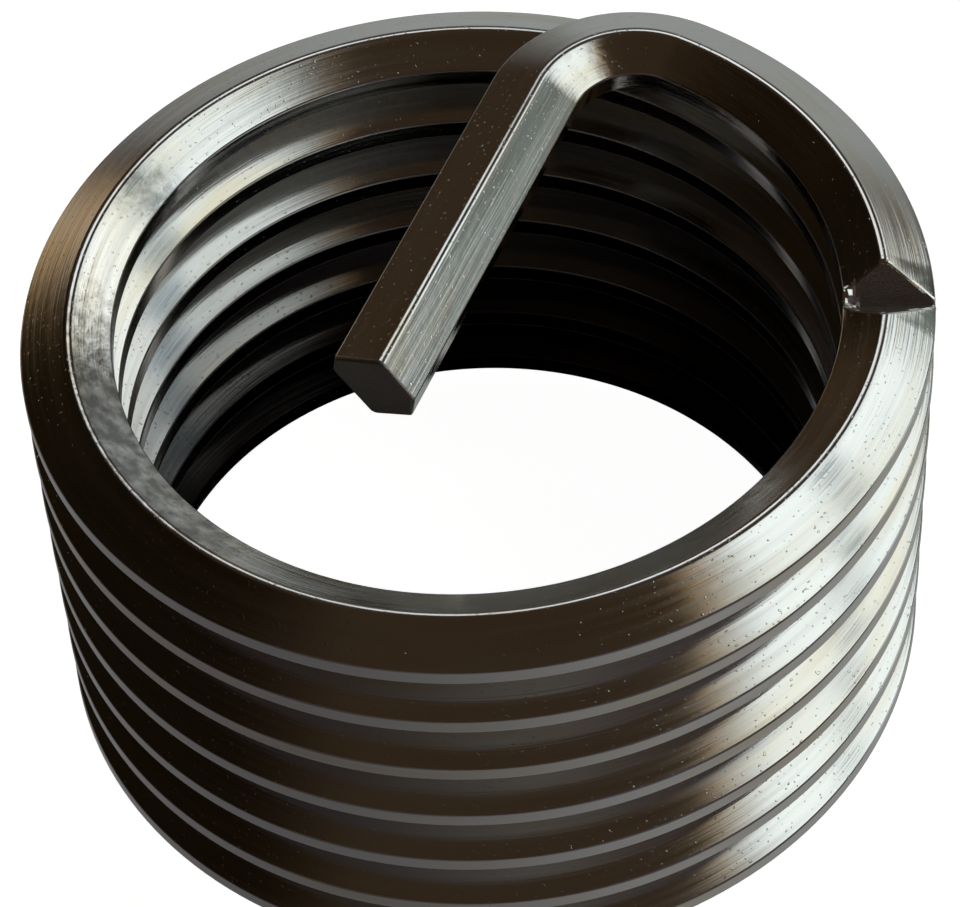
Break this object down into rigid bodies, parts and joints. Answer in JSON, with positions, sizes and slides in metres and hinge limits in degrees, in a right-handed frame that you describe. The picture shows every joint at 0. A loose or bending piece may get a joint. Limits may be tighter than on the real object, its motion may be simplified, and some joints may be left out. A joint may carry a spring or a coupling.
{
  "type": "helical thread insert",
  "caption": "Coil of diamond-section stainless wire that lines a tapped hole, with a straight tang bent across its end and a break-off notch beside the bend.",
  "frame": {"origin": "on the coil's axis, level with the lowest point of the wire", "axes": "+Z along the coil's axis towards the tang; +X towards the start of the inward curl of the last turn; the tang runs towards -Y"},
  "size_m": [0.0148, 0.0148, 0.0102],
  "materials": {
    "stainless_wire": "bright drawn and rolled stainless wire, fine lengthwise draw lines"
  },
  "bodies": {
    "root": {"coil": "stainless_wire"}
  },
  "joints": []
}
